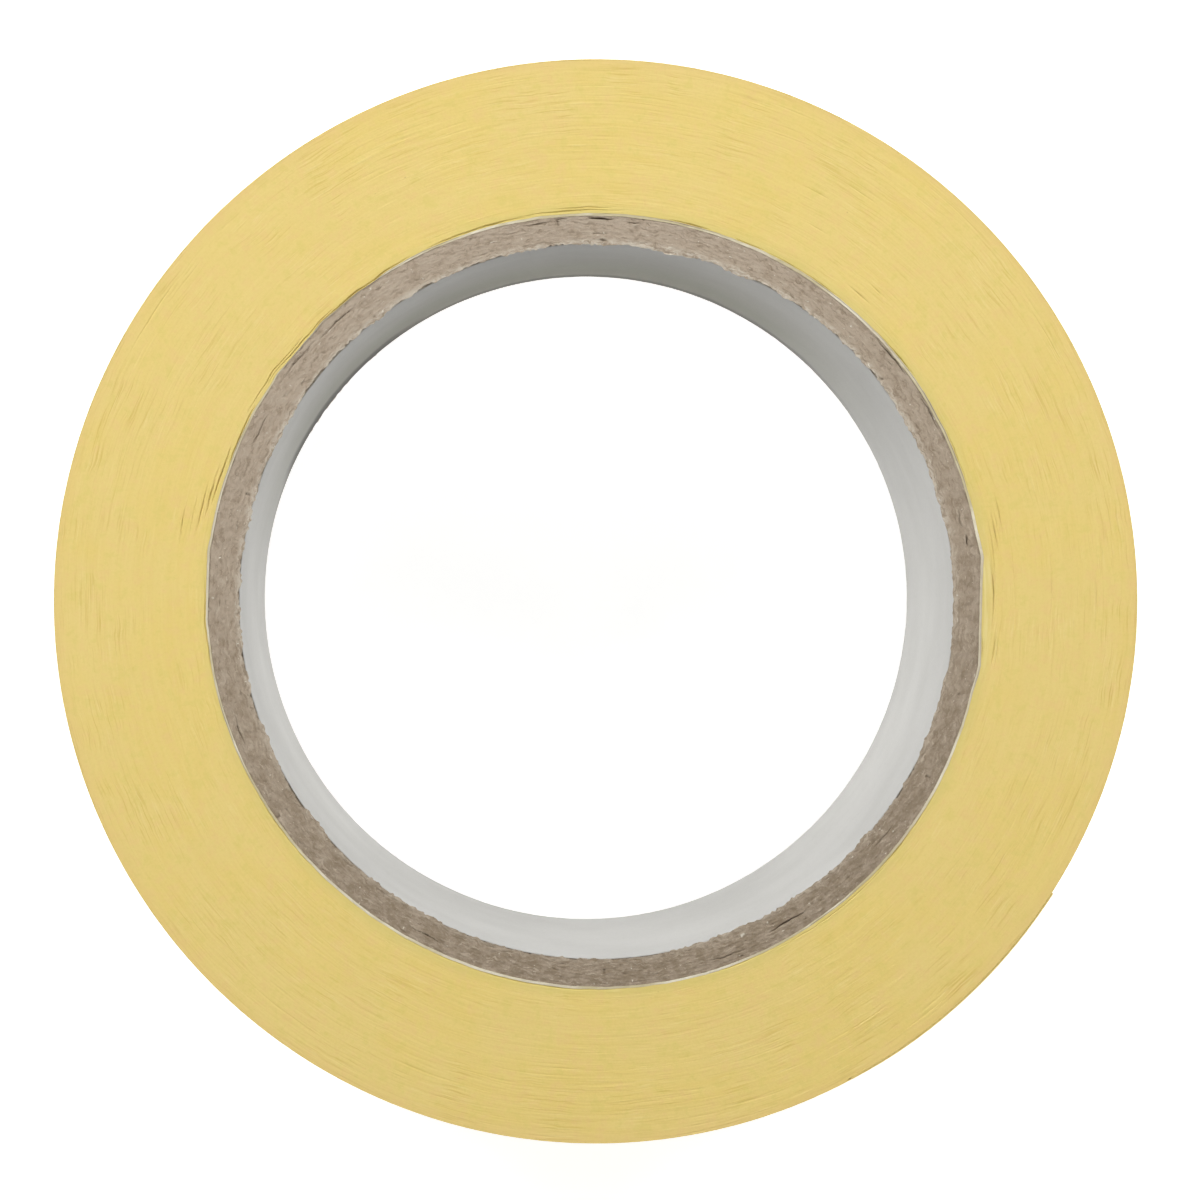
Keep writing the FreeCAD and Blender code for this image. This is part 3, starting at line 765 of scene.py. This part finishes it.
def ply_ring(i):
    r0 = LINER + (i - 1) * PLY
    first, last = i == 1, i == 6
    seam = math.radians(SEAMS[i])
    n = 2000
    over = 0.004

    def lo_(theta):
        return np.full_like(theta, r0)

    def hi_(theta):
        return board_border(theta) - 0.002 if last else np.full_like(theta, r0 + PLY - over)

    def notch(r, theta):
        d = np.abs(angle_gap(theta, seam)) * r
        return 0.16 * (1 - smooth(d, 0.05, 0.20))

    def up(s, theta):
        inner = lo_(theta)
        if first:
            inner = LINER - 0.01 - np.clip(bore_edge(theta, 700), -0.22, 0.48)
        r = inner + (hi_(theta) - inner) * s
        h = board_relief(r, theta, 300)[0] - notch(r, theta)
        if first:
            h = h - 0.08 * (1 - smooth(r, LINER - 0.35, LINER + 0.10))
        return r, WIDTH + h

    def down(s, theta):
        outer, inner = hi_(theta), lo_(theta)
        if first:
            inner = LINER - 0.01 - np.clip(low_burr(theta, 760), 0.0, 0.34)
        r = outer + (inner - outer) * s
        h = board_relief(r, theta, 340)[0] - notch(r, theta + 2.6)
        return r, -h

    def outside(s, theta):
        a, b = up(np.ones_like(theta), theta)[1], down(np.zeros_like(theta), theta)[1]
        return hi_(theta), a + (b - a) * s

    def inside(s, theta):
        a, b = down(np.ones_like(theta), theta), up(np.zeros_like(theta), theta)
        z = a[1] + (b[1] - a[1]) * s
        if not first:
            return lo_(theta), z
        # the torn edge reaches in only close to the faces
        near_low = 1 - smooth(z - a[1], 0.05, 0.45)
        near_high = 1 - smooth(b[1] - z, 0.05, 0.40)
        return LINER + 0.003 + (a[0] - LINER) * near_low + (b[0] - LINER) * near_high, z

    inside_runs = [("inside", 2, inside)]
    if first:

        def stepped(s, theta):
            # rows are packed towards the two ends, where the edge is torn
            t = np.where(s < 0.5, 0.012 * s * 2, 1 - 0.012 * (1 - s) * 2)
            return inside(t, theta)

        inside_runs = [("inside", 8, stepped)]

    def value(which):
        def function(r, theta, z, kinds, along):
            out = np.zeros(r.shape)
            for k, kind in enumerate(kinds):
                if kind in ("top", "bottom"):
                    h, recess, tuft = board_relief(r[k], theta[k], 300 if kind == "top" else 340)
                    shift = 0.0 if kind == "top" else 2.6
                    gap = 0.55 * notch(r[k], theta[k] + shift) / 0.16
                    out[k] = np.maximum(recess, gap) if which == "recess" else tuft
            return out

        return function

    obj = ring(
        f"board_ply_{i}",
        [("top", 12 if first else 9, up), ("outside", 2, outside), ("bottom", 4, down), *inside_runs],
        n,
        {"recess": value("recess"), "lift": value("lift")},
    )
    obj.data.materials.append(M_BOARD)
    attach(obj, "roll")
    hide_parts(f"core_board_ply_{i}")
    return obj


for i in range(1, 7):
    ply_ring(i)


def facing():
    """The white facing: a thin paper whose cut edge is a little torn."""
    n = 2400

    def edge(theta, seed):
        v = theta / TAU
        return -0.05 + 0.03 * noise(theta * 0, v, 1, 300, seed) + 0.02 * noise(theta * 0, v, 1, 900, seed + 1)

    def up(s, theta):
        a, b = board_border(theta), facing_border(theta) - 0.012
        h = edge(theta + s * 0.01, 900)
        return a + (b - a) * s, WIDTH + np.minimum(h, -0.01)

    def down(s, theta):
        a, b = board_border(theta), facing_border(theta) - 0.012
        return b + (a - b) * s, -np.minimum(edge(theta + s * 0.01, 950), -0.01)

    def outside(s, theta):
        a, b = up(np.ones_like(theta), theta)[1], down(np.zeros_like(theta), theta)[1]
        return facing_border(theta) - 0.012, a + (b - a) * s

    def inside(s, theta):
        a, b = down(np.ones_like(theta), theta)[1], up(np.zeros_like(theta), theta)[1]
        return board_border(theta), a + (b - a) * s

    def recess(r, theta, z, kinds, along_):
        out = np.zeros(r.shape)
        for k, kind in enumerate(kinds):
            if kind in ("top", "bottom"):
                worn = np.clip(noise(theta[k] * 0, theta[k] / TAU, 1, 60, 990) - 0.25, 0, 1)
                brown = 1 - smooth(np.abs(angle_gap(theta[k], math.radians(134))), 0.13, 0.24)
                side = 0.9 * np.clip(noise(theta[k] * 0, theta[k] / TAU, 1, 34, 992) + 0.25, 0, 1)
                out[k] = np.maximum(0.4 * worn, 0.62 * brown) + (side if along_[k] >= 0.7 and kind == "top" else 0)
        return np.clip(out, 0, 1)

    obj = ring(
        "core_facing",
        [("top", 4, up), ("outside", 2, outside), ("bottom", 3, down), ("inside", 2, inside)],
        n,
        {"recess": recess},
    )
    obj.data.materials.append(M_FACING)
    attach(obj, "roll")
    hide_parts("core_outer_facing")


facing()


def liner():
    """The smooth liner, with chipped edges at both faces."""
    n, rows = 1400, 40

    def edge(theta, seed):
        v, zero = theta / TAU, theta * 0
        chip = np.clip(noise(zero, v, 1, 120, seed) + 0.6 * noise(zero, v, 1, 420, seed + 1) - 0.15, 0, 2)
        return 0.20 + 0.05 * noise(zero, v, 1, 500, seed + 2) + 0.24 * chip

    def wave(z, theta):
        v = theta / TAU
        flare = 0.11 * smooth(z, WIDTH - 1.6, WIDTH - 0.1)
        return flare + 0.012 * noise(z / WIDTH, v, 5, 22, 1000) + 0.006 * noise(z / WIDTH, v, 12, 90, 1001)

    def up(s, theta):
        a = BORE + 0.01 + wave(WIDTH - edge(theta, 1100), theta)
        return a + (LINER - 0.005 - a) * s, WIDTH - edge(theta, 1100)

    def down(s, theta):
        return LINER - 0.005 + (BORE + 0.015 - LINER) * s, edge(theta, 1200)

    def outside(s, theta):
        a, b = WIDTH - edge(theta, 1100), edge(theta, 1200)
        return np.full_like(theta, LINER - 0.005), a + (b - a) * s

    def inside(s, theta):
        a, b = edge(theta, 1200), WIDTH - edge(theta, 1100)
        z = a + (b - a) * (s + 0.35 * s * (1 - s) * (2 * s - 1) + 0.10 * np.sin(math.pi * s) ** 2)
        return BORE + 0.01 + wave(z, theta), z

    # painted shade: darkens the liner's top cut edge through the recess value
    def painted_shade_top_edge(r, theta, z, kinds, along_):
        out = np.zeros(r.shape)
        for k, kind in enumerate(kinds):
            if kind == "top":
                out[k] = 0.50 + 0.15 * along(theta[k], 300, 1150)
        return out

    obj = ring(
        "bore_liner",
        [("top", 1, up), ("outside", 2, outside), ("bottom", 1, down), ("inside", rows, inside)],
        n,
        {"recess": painted_shade_top_edge},
    )
    obj.data.materials.append(M_LINER)
    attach(obj, "roll")
    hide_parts("core_inner_liner")


liner()

# ---------------------------------------------------------------- the tail
turned = np.array([[math.cos(HINGE), -math.sin(HINGE)], [math.sin(HINGE), math.cos(HINGE)]])
C0 = turned @ np.array([-Q / 2, Q / 2])


# The tail's pieces meet at the middles of its links:
# from, to, body before and after, bend from, bend to (all mm along the strip), and the CAD link it stands for.
TAIL = [
    (0.0, 5.0, "roll", "tail_link_1", 0.0, 0.9, 1),
    (5.0, 15.0, "tail_link_1", "tail_link_2", 7.3, 12.7, 2),
    (15.0, 25.0, "tail_link_2", "tail_link_3", 17.3, 22.7, 3),
    (25.0, 30.0, "tail_link_3", None, 0.0, 0.0, 3),
]


def tail_piece(index, part):
    s0, s1, before, after, bend_from, bend_to, link = TAIL[index]
    n, rows = int(7.2 * (s1 - s0)) + 1, 100
    s = s0 + (s1 - s0) * np.arange(n) / (n - 1)
    z0, z1 = 0.04, WIDTH - 0.04
    zs = z0 + (z1 - z0) * np.arange(rows + 1) / rows
    ss, zz = np.meshgrid(s, zs, indexing="ij")
    if after is None:  # the torn end
        u = zs / WIDTH
        rag = 0.22 * noise(u, u * 0, 9, 2, 1300, False) + 0.14 * noise(u, u * 0, 34, 2, 1301, False)
        rag = rag + 0.08 * noise(u, u * 0, 90, 2, 1302, False) - 0.36
        ss = ss + rag[None, :] * ((ss - s0) / (s1 - s0)) ** 3
    tt = HINGE + ss * PER_MM
    h = 0.020 * crepe_height(ss, zz, 400)
    if part == "paper":
        outer, inner = TAIL_IN + TAPE - 0.011 + h, np.full_like(tt, TAIL_IN + 0.026)
        node, material, slot_name = f"tail_paper_{link}", M_TAIL, "tape_paper"
    else:
        outer, inner = np.full_like(tt, TAIL_IN + 0.024), np.full_like(tt, TAIL_IN - 0.028)
        node, material, slot_name = f"tail_adhesive_{link}", M_TAIL_GLUE, "tape_adhesive"
    if index == 0:  # it comes off the last turn without a step
        step = 0.05 * (1 - smooth(ss, 0.0, 5.0))
        outer, inner = outer - step, inner - (step if part == "paper" else 0.4 * step)
    name = f"tail_{part}_piece_{index + 1}"
    obj = sheet_solid(name, outer, inner, tt, zz, node, material, C0, True)
    if after is None:
        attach(obj, before)
    else:
        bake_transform(obj)
    return obj


for index in range(len(TAIL)):
    tail_piece(index, "paper")
    tail_piece(index, "glue")

# ---------------------------------------------------------------- floor, light, camera
floor_mat = Nodes("floor_pale")
fp = floor_mat.point()
floor_mat.finish(
    floor_mat.mix(floor_mat.span(floor_mat.noise(fp, 0.01, 3.0), 0.3, 0.7), (0.80, 0.80, 0.80), (0.82, 0.82, 0.82)),
    0.8,
    None,
    0.1,
)
floor_mat.bsdf.inputs["Emission Color"].default_value = (1, 1, 1, 1)
# the floor shows plain white; inside the bore, where the lamps don't reach its upper part, it glows a little more
fx, fy, _ = floor_mat.split(fp)
f_r = floor_mat.math("SQRT", floor_mat.math("ADD", floor_mat.math("MULTIPLY", fx, fx), floor_mat.math("MULTIPLY", fy, fy)))
inside_bore = floor_mat.span(f_r, 40.0, 56.0, 1.0, 0.0)
extra = floor_mat.math("ADD", floor_mat.span(fy, -6.0, 37.0, 0.0, 0.40), -0.125)
floor_mat.link(
    floor_mat.math("ADD", floor_mat.math("MULTIPLY", inside_bore, extra), 0.63), floor_mat.bsdf.inputs["Emission Strength"]
)
bpy.ops.mesh.primitive_circle_add(vertices=96, radius=3.0, fill_type="NGON", location=(0, 0, -0.0002))
floor = bpy.context.object
floor.name = "floor"
floor.data.materials.append(floor_mat.mat)

world = bpy.data.worlds.new("studio")
scene.world = world
world.use_nodes = True
background = world.node_tree.nodes["Background"]
background.inputs[0].default_value = (1.0, 1.0, 1.0, 1.0)
# pale near the horizon, as a studio's walls, and dark above, where the lamps are
w_coord = world.node_tree.nodes.new("ShaderNodeTexCoord")
w_split = world.node_tree.nodes.new("ShaderNodeSeparateXYZ")
w_range = world.node_tree.nodes.new("ShaderNodeMapRange")
w_range.interpolation_type = "SMOOTHSTEP"
for key, value in (("From Min", 0.06), ("From Max", 0.34), ("To Min", 0.80), ("To Max", 0.02)):
    w_range.inputs[key].default_value = value
world.node_tree.links.new(w_coord.outputs["Generated"], w_split.inputs[0])
world.node_tree.links.new(w_split.outputs[2], w_range.inputs["Value"])
world.node_tree.links.new(w_range.outputs["Result"], background.inputs[1])


def softbox(name, azimuth, elevation, power):
    """A round soft lamp 0.7 m from the roll."""
    a, e = math.radians(azimuth), math.radians(elevation)
    data = bpy.data.lights.new(name, "AREA")
    data.shape = "DISK"
    data.size = 0.3
    data.energy = power
    obj = bpy.data.objects.new(name, data)
    scene.collection.objects.link(obj)
    offset = Vector((math.cos(a) * math.cos(e), math.sin(a) * math.cos(e), math.sin(e))) * 0.7
    obj.location = Vector((0, 0, 0.05)) + offset
    obj.rotation_mode = "QUATERNION"
    obj.rotation_quaternion = (-offset).to_track_quat("-Z", "Y")
    return obj


softbox("back_right_low", 45, 35, 2.13)
softbox("back_right_high", 45, 60, 1.15)
softbox("back_left_low", 135, 35, 2.32)
softbox("back_left_high", 135, 60, 0.95)
softbox("right", 0, 35, 1.15)
softbox("left", 180, 35, 1.82)

cam_data = bpy.data.cameras.new("camera")
camera = bpy.data.objects.new("camera", cam_data)
scene.collection.objects.link(camera)
scene.camera = camera
cam_data.sensor_width = 36.0
cam_data.lens = 125.89
cam_data.clip_start, cam_data.clip_end = 0.01, 20.0
cam_at, aim = Vector((-0.012124, 0.003810, 0.498142)), Vector((0.0002348, 0.0001662, 0.050))
back = (cam_at - aim).normalized()
right = Vector((0, 1, 0)).cross(back).normalized()
up_axis = back.cross(right)
camera.matrix_world = Matrix(
    (
        (right.x, up_axis.x, back.x, cam_at.x),
        (right.y, up_axis.y, back.y, cam_at.y),
        (right.z, up_axis.z, back.z, cam_at.z),
        (0, 0, 0, 1),
    )
)
scene.view_settings.view_transform = "Standard"
scene.view_settings.look = "None"
